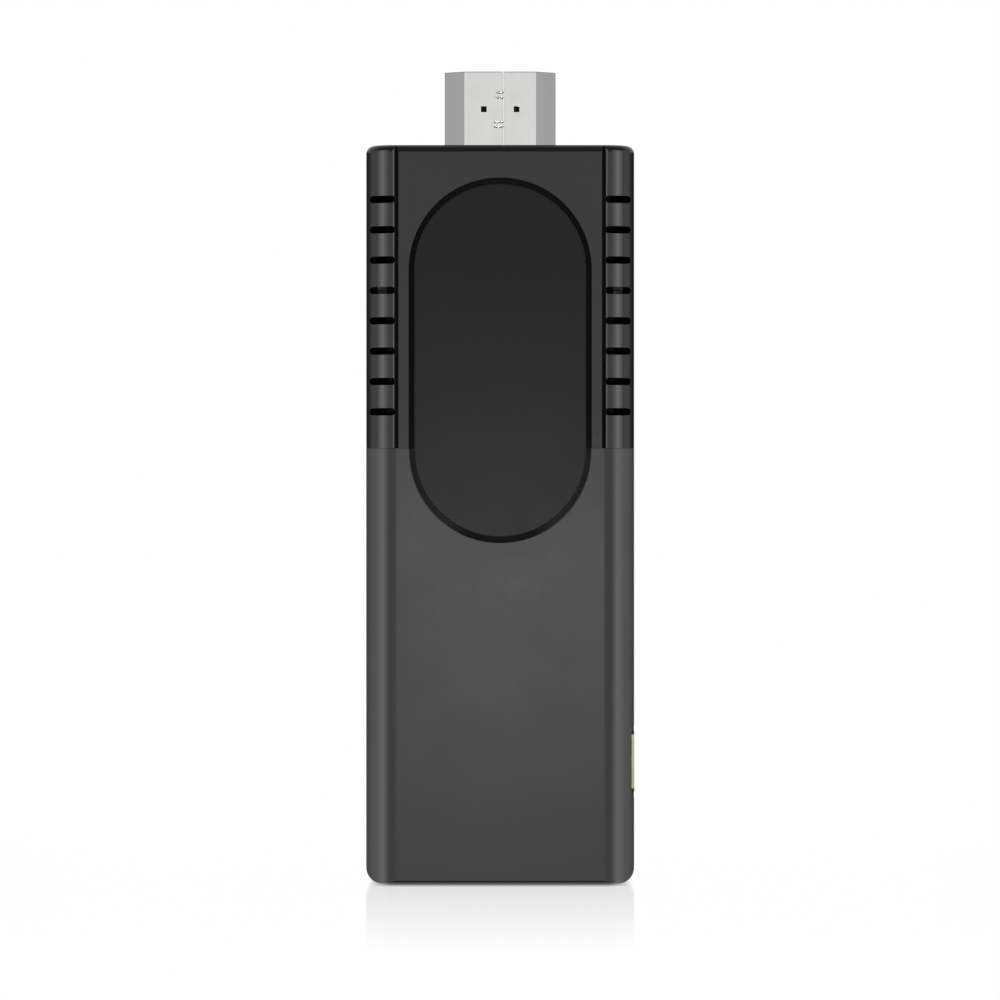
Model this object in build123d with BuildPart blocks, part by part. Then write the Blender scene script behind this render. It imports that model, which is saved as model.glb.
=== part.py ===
from build123d import *
import os

# A stick-shaped streaming media player, as the separate pieces that it comes apart into.
#
# Millimetres. The stick stands on its bottom end: +Z runs up to the video plug, the front faces -Y, and
# +X is to the right of someone who looks at the front. The origin is in the middle of the bottom end.

# ---------------------------------------------------------------- driving dimensions: the casing
BODY_WIDTH = 33.5
BODY_DEPTH = 13.0
BODY_HEIGHT = 92.0
WALL = 1.4
FRONT_CORNER_R = 3.85   # the two long front edges, which form the rounded side rails
REAR_CORNER_R = 3.0
TOP_EDGE_R = 1.0
BOTTOM_EDGE_R = 0.4
BOTTOM_CORNER_R = 1.9   # seen from the front, where the sides meet the bottom end
COVER_JOINT_Z = 54.2    # where the gloss upper front cover meets the satin lower one
COVER_JOINT_GAP = 0.02

FRONT_Y = -BODY_DEPTH / 2
REAR_Y = BODY_DEPTH / 2
SIDE_X = BODY_WIDTH / 2
INNER_X = SIDE_X - WALL
INNER_REAR_Y = REAR_Y - WALL
RAIL_X = SIDE_X - FRONT_CORNER_R    # where the flat front ends and the rail begins
RAIL_Y = FRONT_Y + FRONT_CORNER_R

# The front and rear mouldings part on the board's mid-plane, where a lip locates them.
PARTING_Y = -0.85
LIP_THICKNESS = 0.62
LIP_DEPTH = 0.8
FIT_GAP = 0.08
ROOT_OVERLAP = 0.2      # how far a rib or boss is sunk into the wall that carries it

# ---------------------------------------------------------------- driving dimensions: the front's details
POCKET_WIDTH = 22.65    # the oval pocket that the inlay sits in
POCKET_LENGTH = 45.3
POCKET_TOP = 4.2        # below the top end
POCKET_DEPTH = 0.8
POCKET_RIM = 0.12
POCKET_FLOOR = 0.9
POCKET_BORDER = 1.0     # how far the thickened floor reaches past the pocket
INLAY_GROOVE = 0.6      # the open ring between the inlay and its pocket
TRENCH_DEPTH = 0.295    # the V-shaped glue trench at the bottom of that ring
TRENCH_TAPER = 45
INLAY_EDGE_R = 0.15
TAPE_THICKNESS = 0.12
TAPE_MARGIN = 0.7
INLAY_Z = BODY_HEIGHT - POCKET_TOP - POCKET_LENGTH / 2
POCKET_FLOOR_Y = FRONT_Y + POCKET_DEPTH
FLOOR_INNER_Y = POCKET_FLOOR_Y + POCKET_FLOOR

VENT_COUNT = 8
VENT_PITCH = 3.78
VENT_HEIGHT = 0.9
VENT_TOP_Z = BODY_HEIGHT - 6.8
VENT_NEAR_X = 13.1
VENT_FAR_X = 16.3
VENT_FAR_Y = -3.6       # the far end runs straight back to here and then slopes inwards
VENT_SLOPE = 1.2
VENT_END_R = 0.4

CREASE_START = 0.25     # the crease's steep side, on the flat
CREASE_END = 0.65       # its round side, which runs into the rail
CREASE_SHOULDER_R = 0.6
CREASE_END_DEPTH = FRONT_CORNER_R - (FRONT_CORNER_R ** 2 - CREASE_END ** 2) ** 0.5

HOOK_WIDTH = 2.6        # narrow enough to stand between two vents
HOOK_TIP_Y = 2.3
HOOK_BARB = 0.4
HOOK_TIP_FLAT = 0.4
UPPER_HOOKS_Z = [VENT_TOP_Z - VENT_PITCH * rows for rows in (1.5, 5.5)]
LOWER_HOOKS_Z = [6.5, 44.0]

TONGUE_WIDTH = 20.0     # the tongue under the joint ties the upper cover to the lower one
TONGUE_THICKNESS = 0.7
TONGUE_REACH = 2.0
TONGUE_ROOT = 1.2

# ---------------------------------------------------------------- driving dimensions: the rear cover
LABEL_WIDTH = 22.0
LABEL_HEIGHT = 34.0
LABEL_Z = 44.0
LABEL_R = 2.0
LABEL_GAP = 0.2
LABEL_RECESS = 0.2
LABEL_THICKNESS = 0.12
RIB_THICKNESS = 1.0
RIB_LENGTH = 2.0
BOARD_RIBS_Z = [12.0, 40.0, 56.0, 74.0]
BOSS_R = 2.1

# ---------------------------------------------------------------- driving dimensions: the board
BOARD_THICKNESS = 1.0
BOARD_HALF_WIDTH = 14.2
BOARD_BOTTOM = 2.6
BOARD_TOP = 85.0
BOARD_CORNER_R = 1.0
BOARD_FRONT_Y = PARTING_Y - BOARD_THICKNESS / 2
BOARD_REAR_Y = PARTING_Y + BOARD_THICKNESS / 2
BOARD_SCREWS = [(-11.0, 47.0), (11.0, 6.0)]
SCREW_HOLE_R = 1.1
SCREW_SHANK_R = 0.85
SCREW_LENGTH = 4.0
SCREW_HEAD_R = 1.6
SCREW_HEAD_HEIGHT = 0.9
SCREW_HEAD_EDGE_R = 0.3
SCREW_RECESS_LENGTH = 1.8
SCREW_RECESS_WIDTH = 0.5
SCREW_RECESS_DEPTH = 0.5

# ---------------------------------------------------------------- driving dimensions: the video plug
PLUG_WIDTH = 13.9
PLUG_DEPTH = 4.45
PLUG_NARROW_WIDTH = 8.9     # the bevelled side, which faces the front
PLUG_STRAIGHT = 1.95        # how far the short sides run before the bevel
PLUG_BULGE = 0.05           # how far each bevel bulges from straight
PLUG_FOLD_R = 0.05
PLUG_CORNER_R = 0.55
PLUG_SHEET = 0.3
PLUG_MOUTH_R = 0.1
PLUG_EXPOSED = 9.3
PLUG_TIP = BODY_HEIGHT + PLUG_EXPOSED
PLUG_SHELL_BACK = 87.0
PLUG_BASE_BACK = 83.6
PLUG_FRONT_Y = PARTING_Y - PLUG_DEPTH / 2
PLUG_SLOT_WIDTH = 11.9      # the slot that takes the socket's tongue
PLUG_SLOT_DEPTH = 1.9
PLUG_SLOT_LENGTH = 8.4
PLUG_MOUTH_INSET = 0.4
COLLAR_MARGIN = 1.1
COLLAR_HEIGHT = 1.5
COLLAR_TOP = BODY_HEIGHT - WALL - 0.1
COLLAR_STOP_X = 8.0
COLLAR_STOP_WIDTH = 1.6
COLLAR_STOP_HEIGHT = 1.0
LATCH_HOLE = 0.72
LATCH_HOLE_SPACING = 4.1
LATCH_HOLE_Z = PLUG_TIP - 4.7
LATCH_RECESS = 0.95
LATCH_RECESS_DEPTH = 0.6
SEAM_X = 0.42
SEAM_GROOVE_R = 0.15
SEAM_RISE = 0.075
SEAM_CORNER_R = 0.22
SEAM_TAB_Z = PLUG_TIP - 2.95
SEAM_TAB_R = 0.35
SEAM_TAB_X = -0.15
SEAM_TONGUE_Z = PLUG_TIP - 6.6
SEAM_TONGUE_HALF = 0.3
SEAM_TONGUE_X = -0.8
CONTACT_PITCH = 1.0
CONTACT_WIDTH = 0.45
CONTACT_THICKNESS = 0.2
CONTACT_PROUD = 0.12
CONTACT_TAIL = 2.2
CONTACT_TIP_INSET = 1.2
CONTACT_BEND_Z = PLUG_BASE_BACK + 2.6
CONTACT_BEND_HEIGHT = 1.0

# ---------------------------------------------------------------- driving dimensions: the power socket
SOCKET_Z = 15.1
SOCKET_LENGTH = 7.5         # along Z
SOCKET_HEIGHT = 2.65        # off the board
SOCKET_BEVEL = 0.9
SOCKET_CORNER_R = 0.45
SOCKET_SHEET = 0.25
SOCKET_BACK_X = 11.4
SOCKET_BLOCK = 1.4          # the solid back of its insulator
SOCKET_TONGUE_WIDTH = 3.6
SOCKET_TONGUE_LENGTH = 5.0
SOCKET_TONGUE_THICKNESS = 0.55
SOCKET_TONGUE_Y = BOARD_FRONT_Y - 1.05
SOCKET_CONTACTS = 5
SOCKET_CONTACT_PITCH = 0.65
SOCKET_CONTACT_WIDTH = 0.32
SOCKET_CONTACT_LENGTH = 4.4
SOCKET_CONTACT_THICKNESS = 0.15
SOCKET_OPENING_LENGTH = 8.9
SOCKET_OPENING_Y = -4.25
SOCKET_OPENING_R = 1.1
SOCKET_TAB_GAP = 0.1
SOCKET_TAB_X = INNER_X + 0.15
SOCKET_EAR_X = 15.2         # the board reaches out under the socket
SOCKET_EAR_LENGTH = 8.3
SOCKET_LEG_WIDTH = 0.9
SOCKET_LEG_GAP = 0.1
SOCKET_LEG_RISE = SOCKET_BEVEL + 0.3
SOCKET_LEG_OFFSET = (SOCKET_LENGTH - SOCKET_SHEET) / 2
SOCKET_LEGS = [(x, SOCKET_Z + side * SOCKET_LEG_OFFSET) for x in (12.4, 14.4) for side in (-1, 1)]

# ---------------------------------------------------------------- driving dimensions: reset button and lamp
BUTTON_Y = 1.5
BUTTON_Z = 31.5
BUTTON_R = 1.1
BUTTON_PROUD = 0.05
BUTTON_EDGE_R = 0.2
BUTTON_CLEARANCE = 0.05     # radial
FLANGE_R = 1.6
FLANGE_THICKNESS = 0.43
FLANGE_X = -INNER_X + 0.02
PLUNGER_X = FLANGE_X + FLANGE_THICKNESS
PLUNGER_R = 0.7
PLUNGER_INSIDE = 0.6
SWITCH_X = -BOARD_HALF_WIDTH
SWITCH_WELL = 1.2
SWITCH_LENGTH = 6.2
SWITCH_DEPTH = 3.5
SWITCH_HEIGHT = 2 * (BUTTON_Y - BOARD_REAR_Y)
DOME_R = 0.7
DOME_THICKNESS = 0.1
LAMP_Y = 0.6
LAMP_Z = 25.0
LIGHT_PIPE_R = 0.6
LIGHT_PIPE_X = BOARD_HALF_WIDTH + 0.1
LIGHT_PIPE_COLLAR_R = 1.0
LIGHT_PIPE_COLLAR = 0.4

# ---------------------------------------------------------------- driving dimensions: what the board carries
PROCESSOR_Z = 70.5
PROCESSOR_SIZE = 14.0
PROCESSOR_THICKNESS = 1.1
THERMAL_PAD_SIZE = 13.0
THERMAL_PAD_THICKNESS = 0.5
SINK_WIDTH = 25.0
SINK_HEIGHT = 26.0
SINK_CORNER_R = 0.6
SINK_THICKNESS = 1.5
SINK_GAP_DEPTH = 0.8
SINK_GAP_PITCH = 1.9
SINK_GAPS = 12
SINK_BACK_Y = BOARD_FRONT_Y - PROCESSOR_THICKNESS - THERMAL_PAD_THICKNESS

INDUCTORS = [(-3.0, 33.0), (-3.0, 39.0), (10.0, 36.0)]
INDUCTOR_SIZE = 4.0
INDUCTOR_CORNER_R = 0.8
INDUCTOR_HEIGHT = 1.8
INDUCTOR_CORE_R = 1.4
INDUCTOR_CORE_DEPTH = 0.2

CAPACITOR_WIDTH = 0.8
CAPACITOR_LENGTH = 1.6
CAPACITOR_HEIGHT = 0.8
RESISTOR_WIDTH = 0.5
RESISTOR_LENGTH = 1.0
RESISTOR_HEIGHT = 0.35
MARK_DEPTH = 0.1

# The radio is a small board of its own, with a shield can over its chip.
RADIO_X = -4.0
RADIO_Z = 16.0
RADIO_BOARD = 12.0
RADIO_BOARD_THICKNESS = 0.6
RADIO_FACE_Y = BOARD_REAR_Y + RADIO_BOARD_THICKNESS
RADIO_CHIP = 6.0
RADIO_CHIP_THICKNESS = 0.8
CAN_SIZE = 11.0
CAN_HEIGHT = 1.4
CAN_CORNER_R = 0.5
CAN_SHEET = 0.2

# The aerial is stamped from sheet: a long arm that stands on two feet.
AERIAL_X = -3.0
AERIAL_Z = 4.6
AERIAL_SHEET = 0.3
AERIAL_RISE = 2.4
AERIAL_ARM_LENGTH = 17.0
AERIAL_ARM_WIDTH = 2.0
AERIAL_FOOT_WIDTH = 1.2
AERIAL_FEET_X = [AERIAL_X - AERIAL_ARM_LENGTH / 2 + reach for reach in (0.6, 4.6)]

pieces = {}


# ---------------------------------------------------------------- drawing planes and shared profiles
def facing_front(y):
    """A drawing plane across the stick at depth y: its x is X, its y is Z and it faces the front."""
    return Plane.XZ.offset(-y)


def facing_right(x):
    """A drawing plane along the stick at x: its x is Y, its y is Z and it faces +X."""
    return Plane.YZ.offset(x)


def section(inset=0.0):
    """The casing's cross-section, drawn in by inset all round."""
    with BuildSketch() as outline:
        Rectangle(BODY_WIDTH - 2 * inset, BODY_DEPTH - 2 * inset)
        fillet(outline.vertices().group_by(Axis.Y)[0], FRONT_CORNER_R - inset)
        fillet(outline.vertices().group_by(Axis.Y)[-1], REAR_CORNER_R - inset)
    return outline.sketch


def rim(outer_inset, inner_inset):
    """A frame that follows the casing's rim on the parting plane."""
    with BuildSketch() as outline:
        with Locations((0, BODY_HEIGHT / 2)):
            Rectangle(BODY_WIDTH - 2 * outer_inset, BODY_HEIGHT - 2 * outer_inset)
            Rectangle(BODY_WIDTH - 2 * inner_inset, BODY_HEIGHT - 2 * inner_inset, mode=Mode.SUBTRACT)
    return outline.sketch


def oval(margin=0.0):
    """The pocket's upright oval, grown by margin all round."""
    with BuildSketch() as outline:
        with Locations((0, INLAY_Z)):
            SlotOverall(POCKET_LENGTH + 2 * margin, POCKET_WIDTH + 2 * margin, rotation=90)
    return outline.sketch


def plug_section(margin=0.0):
    """The plug's outline, grown by margin: a rectangle whose front side is bevelled at both ends."""
    fold = Vector(PLUG_NARROW_WIDTH / 2, PLUG_FRONT_Y)
    rear = PARTING_Y + PLUG_DEPTH / 2
    shoulder = Vector(PLUG_WIDTH / 2, rear - PLUG_STRAIGHT)
    with BuildSketch() as outline:
        with BuildLine():
            Polyline((0, PLUG_FRONT_Y), fold)
            SagittaArc(fold, shoulder, -PLUG_BULGE)
            Polyline(shoulder, (PLUG_WIDTH / 2, rear), (0, rear))
            mirror(about=Plane.YZ)
        make_face()
        fillet(outline.vertices().group_by(Axis.Y)[-1], PLUG_CORNER_R)
        fillet(outline.vertices().group_by(Axis.Y)[0], PLUG_FOLD_R)
        if margin:
            offset(amount=margin, mode=Mode.REPLACE)
    return outline.sketch


def socket_section(inset=0.0):
    """The power socket's outline across X: a rectangle that is bevelled on the board's side."""
    with BuildSketch() as outline:
        with Locations((BOARD_FRONT_Y - SOCKET_HEIGHT / 2, SOCKET_Z)):
            Rectangle(SOCKET_HEIGHT, SOCKET_LENGTH)
        chamfer(outline.vertices().group_by(Axis.X)[-1], SOCKET_BEVEL)
        fillet(outline.vertices().group_by(Axis.X)[0], SOCKET_CORNER_R)
        if inset:
            offset(amount=-inset, mode=Mode.REPLACE)
    return outline.sketch


# ---------------------------------------------------------------- the casing's shape and its openings
with BuildPart() as envelope:
    with BuildSketch():
        add(section())
    extrude(amount=BODY_HEIGHT)
    fillet(envelope.faces().sort_by(Axis.Z)[-1].edges(), TOP_EDGE_R)
    # The bottom end has wide corners at the sides and only a small rounding at the front and rear.
    with BuildSketch(facing_front(REAR_Y)) as front_view:
        with Locations((0, BODY_HEIGHT / 2)):
            Rectangle(BODY_WIDTH, BODY_HEIGHT)
        fillet(front_view.vertices().group_by(Axis.Y)[0], BOTTOM_CORNER_R)
    extrude(amount=BODY_DEPTH, mode=Mode.INTERSECT)
    with BuildSketch(facing_right(-SIDE_X)) as side_view:
        with Locations((0, BODY_HEIGHT / 2)):
            Rectangle(BODY_DEPTH, BODY_HEIGHT)
        fillet(side_view.vertices().group_by(Axis.Y)[0], BOTTOM_EDGE_R)
    extrude(amount=BODY_WIDTH, mode=Mode.INTERSECT)

with BuildPart() as cavity:
    with BuildSketch(Plane.XY.offset(WALL)):
        add(section(WALL))
    extrude(amount=BODY_HEIGHT - 2 * WALL)

with BuildPart() as plug_opening:
    with BuildSketch(Plane.XY.offset(BODY_HEIGHT - 2 * WALL)):
        add(plug_section(FIT_GAP))
    extrude(amount=3 * WALL)

with BuildPart() as socket_opening:
    with BuildSketch(facing_right(INNER_X - WALL)) as socket_outline:
        with Locations((SOCKET_OPENING_Y / 2, SOCKET_Z)):
            Rectangle(-SOCKET_OPENING_Y, SOCKET_OPENING_LENGTH)
        fillet(socket_outline.vertices().group_by(Axis.X)[0], SOCKET_OPENING_R)
    extrude(amount=3 * WALL)

with BuildPart() as vent_pair:
    with BuildSketch(Plane.XY.offset(-VENT_HEIGHT / 2)):
        with BuildLine():
            Polyline(
                (VENT_NEAR_X, FRONT_Y - WALL),
                (VENT_FAR_X, FRONT_Y - WALL),
                (VENT_FAR_X, VENT_FAR_Y),
                (VENT_FAR_X - VENT_SLOPE, VENT_FAR_Y + VENT_SLOPE),
                (VENT_NEAR_X, VENT_FAR_Y + VENT_SLOPE),
                close=True,
            )
        make_face()
    extrude(amount=VENT_HEIGHT)
    fillet(vent_pair.edges().filter_by(Axis.Y), VENT_END_R)
    mirror(about=Plane.YZ)

with BuildPart() as crease_pair:
    with BuildSketch(Plane.XY.offset(COVER_JOINT_Z - WALL)):
        with BuildLine():
            crease_end = Vector(RAIL_X + CREASE_END, FRONT_Y + CREASE_END_DEPTH)
            crease_bottom = crease_end + Vector(-CREASE_SHOULDER_R, CREASE_SHOULDER_R)
            RadiusArc(crease_bottom, crease_end, -CREASE_SHOULDER_R)
            Polyline(
                crease_end,
                (RAIL_X + CREASE_END, FRONT_Y - WALL),
                (RAIL_X - CREASE_START, FRONT_Y - WALL),
                (RAIL_X - CREASE_START, FRONT_Y),
                crease_bottom,
            )
        make_face()
    extrude(amount=BODY_HEIGHT)
    mirror(about=Plane.YZ)

# ---------------------------------------------------------------- the two front covers
with BuildPart() as front_shell:
    add(envelope.part)
    split(bisect_by=facing_front(PARTING_Y), keep=Keep.TOP)
    add(cavity.part, mode=Mode.SUBTRACT)
    # The lip that slides inside the rear cover's walls.
    with BuildSketch(facing_front(PARTING_Y)):
        add(rim(WALL - LIP_THICKNESS, WALL))
    extrude(amount=-LIP_DEPTH)
    # The pocket, with a thickened floor behind it and a bevelled rim.
    with BuildSketch(facing_front(FLOOR_INNER_Y)):
        add(oval(POCKET_BORDER))
    extrude(amount=POCKET_FLOOR)
    with BuildSketch(facing_front(POCKET_FLOOR_Y)):
        add(oval())
    extrude(amount=2 * POCKET_DEPTH, mode=Mode.SUBTRACT)
    with BuildSketch(facing_front(FRONT_Y)):
        add(oval(POCKET_RIM))
    extrude(amount=-POCKET_RIM, taper=45, mode=Mode.SUBTRACT)
    # The trench round the floor: the floor is cut down and its middle raised again, both with sloping sides.
    with BuildSketch(facing_front(POCKET_FLOOR_Y)):
        add(oval())
    extrude(amount=-TRENCH_DEPTH, taper=TRENCH_TAPER, mode=Mode.SUBTRACT)
    with BuildSketch(facing_front(POCKET_FLOOR_Y + TRENCH_DEPTH)):
        add(oval(TRENCH_DEPTH - INLAY_GROOVE))
    extrude(amount=TRENCH_DEPTH, taper=TRENCH_TAPER)
    add(plug_opening.part, mode=Mode.SUBTRACT)
    add(socket_opening.part, mode=Mode.SUBTRACT)

# A snap hook at each side: it reaches down past the lip, and its barb catches in the rear cover.
with BuildPart() as hook_pair:
    with BuildSketch(Plane.XY.offset(-HOOK_WIDTH / 2)):
        root_x = INNER_X + ROOT_OVERLAP
        root_y = RAIL_Y + FIT_GAP
        back_x = BOARD_HALF_WIDTH + 0.45
        face_x = INNER_X - FIT_GAP
        with BuildLine():
            Polyline(
                (root_x, root_y),
                (back_x, root_y),
                (back_x, HOOK_TIP_Y),
                (back_x + HOOK_TIP_FLAT, HOOK_TIP_Y),
                (face_x + HOOK_BARB, HOOK_TIP_Y - 2 * HOOK_BARB),
                (face_x, HOOK_TIP_Y - 3 * HOOK_BARB),
                (face_x, PARTING_Y),
                (root_x, PARTING_Y),
                close=True,
            )
        make_face()
    extrude(amount=HOOK_WIDTH)
    mirror(about=Plane.YZ)

with BuildPart() as upper_front_cover:
    add(front_shell.part)
    split(bisect_by=Plane.XY.offset(COVER_JOINT_Z + COVER_JOINT_GAP / 2), keep=Keep.TOP)
    with Locations(*[(0, 0, VENT_TOP_Z - VENT_PITCH * row) for row in range(VENT_COUNT)]):
        add(vent_pair.part, mode=Mode.SUBTRACT)
    add(crease_pair.part, mode=Mode.SUBTRACT)
    with BuildSketch(facing_front(FLOOR_INNER_Y)):
        with Locations((0, COVER_JOINT_Z + (TONGUE_ROOT - TONGUE_REACH) / 2)):
            Rectangle(TONGUE_WIDTH, TONGUE_ROOT + TONGUE_REACH)
    extrude(amount=-TONGUE_THICKNESS)
    with Locations(*[(0, 0, z) for z in UPPER_HOOKS_Z]):
        add(hook_pair.part)
pieces["upper_front_cover"] = upper_front_cover

with BuildPart() as lower_front_cover:
    add(front_shell.part)
    split(bisect_by=Plane.XY.offset(COVER_JOINT_Z - COVER_JOINT_GAP / 2), keep=Keep.BOTTOM)
    with Locations(*[(0, 0, z) for z in LOWER_HOOKS_Z]):
        add(hook_pair.part)
pieces["lower_front_cover"] = lower_front_cover

# ---------------------------------------------------------------- the inlay and the tape that holds it
with BuildPart() as inlay_tape:
    with BuildSketch(facing_front(POCKET_FLOOR_Y)):
        add(oval(-INLAY_GROOVE - TAPE_MARGIN))
    extrude(amount=TAPE_THICKNESS)
pieces["inlay_tape"] = inlay_tape

with BuildPart() as oval_inlay:
    with BuildSketch(facing_front(POCKET_FLOOR_Y - TAPE_THICKNESS)):
        add(oval(-INLAY_GROOVE))
    extrude(amount=POCKET_DEPTH - TAPE_THICKNESS)
    fillet(oval_inlay.faces().sort_by(Axis.Y)[0].edges(), INLAY_EDGE_R)
pieces["oval_inlay"] = oval_inlay

# ---------------------------------------------------------------- the rear cover and its blank label
with BuildPart() as rear_cover:
    add(envelope.part)
    split(bisect_by=facing_front(PARTING_Y), keep=Keep.BOTTOM)
    add(cavity.part, mode=Mode.SUBTRACT)
    # The rebate that takes the front covers' lip.
    with BuildSketch(facing_front(PARTING_Y)):
        add(rim(WALL - LIP_THICKNESS - FIT_GAP, 2 * WALL))
    extrude(amount=-(LIP_DEPTH + FIT_GAP), mode=Mode.SUBTRACT)
    add(plug_opening.part, mode=Mode.SUBTRACT)
    # The tab that closes the socket's opening under the board's ear.
    tab_front = BOARD_FRONT_Y + SOCKET_TAB_GAP
    with BuildSketch(facing_right(SOCKET_TAB_X)):
        with Locations(((tab_front + LIP_DEPTH) / 2, SOCKET_Z)):
            Rectangle(LIP_DEPTH - tab_front, SOCKET_OPENING_LENGTH - 2 * SOCKET_TAB_GAP)
    extrude(amount=SIDE_X - SOCKET_TAB_X)
    # Bosses for the board's screws, ribs that carry its edges, and stops for the plug's collar.
    with BuildSketch(facing_front(INNER_REAR_Y + ROOT_OVERLAP)):
        with Locations(*BOARD_SCREWS):
            Circle(BOSS_R)
        rib_x = INNER_X - RIB_LENGTH / 2
        with Locations(*[(side * rib_x, z) for side in (-1, 1) for z in BOARD_RIBS_Z]):
            Rectangle(RIB_LENGTH, RIB_THICKNESS)
        stop_z = COLLAR_TOP - COLLAR_HEIGHT - COLLAR_STOP_HEIGHT / 2
        with Locations((-COLLAR_STOP_X, stop_z), (COLLAR_STOP_X, stop_z)):
            Rectangle(COLLAR_STOP_WIDTH, COLLAR_STOP_HEIGHT)
    extrude(amount=INNER_REAR_Y + ROOT_OVERLAP - BOARD_REAR_Y)
    with BuildSketch(facing_front(BOARD_REAR_Y)):
        with Locations(*BOARD_SCREWS):
            Circle(SCREW_SHANK_R)
    extrude(amount=-SCREW_LENGTH, mode=Mode.SUBTRACT)
    # Pockets that catch the hooks' barbs.
    with BuildSketch(facing_front(HOOK_TIP_Y)):
        with Locations(*[(0, z) for z in UPPER_HOOKS_Z + LOWER_HOOKS_Z]):
            Rectangle(2 * (INNER_X + HOOK_BARB + FIT_GAP), HOOK_WIDTH + HOOK_BARB)
    extrude(amount=3 * HOOK_BARB, mode=Mode.SUBTRACT)
    # Holes for the button and the light pipe, and the label's recess.
    with BuildSketch(facing_right(-SIDE_X - WALL)):
        with Locations((BUTTON_Y, BUTTON_Z)):
            Circle(BUTTON_R + BUTTON_CLEARANCE)
    extrude(amount=3 * WALL, mode=Mode.SUBTRACT)
    with BuildSketch(facing_right(INNER_X - WALL)):
        with Locations((LAMP_Y, LAMP_Z)):
            Circle(LIGHT_PIPE_R)
    extrude(amount=3 * WALL, mode=Mode.SUBTRACT)
    with BuildSketch(facing_front(REAR_Y)):
        with Locations((0, LABEL_Z)):
            RectangleRounded(LABEL_WIDTH + 2 * LABEL_GAP, LABEL_HEIGHT + 2 * LABEL_GAP, LABEL_R + LABEL_GAP)
    extrude(amount=LABEL_RECESS, mode=Mode.SUBTRACT)
pieces["rear_cover"] = rear_cover

with BuildPart() as rear_label:
    with BuildSketch(facing_front(REAR_Y - LABEL_RECESS)):
        with Locations((0, LABEL_Z)):
            RectangleRounded(LABEL_WIDTH, LABEL_HEIGHT, LABEL_R)
    extrude(amount=-LABEL_THICKNESS)
pieces["rear_label"] = rear_label

# ---------------------------------------------------------------- the video plug
with BuildPart() as video_plug_shell:
    with BuildSketch(Plane.XY.offset(PLUG_SHELL_BACK)):
        add(plug_section())
        add(plug_section(-PLUG_SHEET), mode=Mode.SUBTRACT)
    extrude(amount=PLUG_TIP - PLUG_SHELL_BACK)
    fillet(video_plug_shell.faces().sort_by(Axis.Z)[-1].outer_wire().edges(), PLUG_MOUTH_R)
    with BuildSketch(facing_front(PLUG_FRONT_Y + 1.5 * PLUG_SHEET)):
        with Locations((0, LATCH_HOLE_Z)):
            with GridLocations(LATCH_HOLE_SPACING, 1, 2, 1):
                Rectangle(LATCH_HOLE, LATCH_HOLE)
    extrude(amount=3 * PLUG_SHEET, mode=Mode.SUBTRACT)
    # The sheet is folded round, and its two ends lock together with a round tab and a square tongue.
    # The groove between them is a round rod's print, and the rod lies mostly in front of the sheet.
    tab_top = SEAM_TAB_Z + SEAM_TAB_R
    tab_bottom = SEAM_TAB_Z - SEAM_TAB_R
    tongue_top = SEAM_TONGUE_Z + SEAM_TONGUE_HALF
    tongue_bottom = SEAM_TONGUE_Z - SEAM_TONGUE_HALF
    with BuildLine(facing_front(PLUG_FRONT_Y - SEAM_RISE)) as seam:
        FilletPolyline(
            (SEAM_X, PLUG_TIP + WALL), (SEAM_X, tab_top), (SEAM_TAB_X, tab_top), radius=SEAM_CORNER_R
        )
        ThreePointArc(
            (SEAM_TAB_X, tab_top), (SEAM_TAB_X - SEAM_TAB_R, SEAM_TAB_Z), (SEAM_TAB_X, tab_bottom)
        )
        FilletPolyline(
            (SEAM_TAB_X, tab_bottom),
            (SEAM_X, tab_bottom),
            (SEAM_X, tongue_top),
            (SEAM_TONGUE_X, tongue_top),
            (SEAM_TONGUE_X, tongue_bottom),
            (SEAM_X, tongue_bottom),
            (SEAM_X, PLUG_SHELL_BACK - WALL),
            radius=SEAM_CORNER_R,
        )
    with BuildSketch(Plane(seam.wire() @ 0, z_dir=seam.wire() % 0)):
        Circle(SEAM_GROOVE_R)
    sweep(path=seam.wire(), mode=Mode.SUBTRACT)
pieces["video_plug_shell"] = video_plug_shell


def contact_row(count, side):
    """A row of plug contacts, which is the rear one for side 1 and the front one for side -1."""
    slot_y = PARTING_Y + side * (PLUG_SLOT_DEPTH / 2 - CONTACT_PROUD + CONTACT_THICKNESS / 2)
    board_y = PARTING_Y + side * (BOARD_THICKNESS + CONTACT_THICKNESS) / 2
    with BuildPart() as contact:
        with BuildSketch(facing_right(-CONTACT_WIDTH / 2)):
            with BuildLine():
                Polyline(
                    (board_y, BOARD_TOP - CONTACT_TAIL),
                    (board_y, CONTACT_BEND_Z),
                    (slot_y, CONTACT_BEND_Z + CONTACT_BEND_HEIGHT),
                    (slot_y, PLUG_TIP - CONTACT_TIP_INSET),
                )
            trace(line_width=CONTACT_THICKNESS)
        extrude(amount=CONTACT_WIDTH)
    with BuildPart() as row:
        with GridLocations(CONTACT_PITCH, 1, count, 1):
            add(contact.part)
    return row.part


with BuildPart() as video_plug_contacts:
    add(contact_row(10, 1))
    add(contact_row(9, -1))
pieces["video_plug_contacts"] = video_plug_contacts

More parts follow.
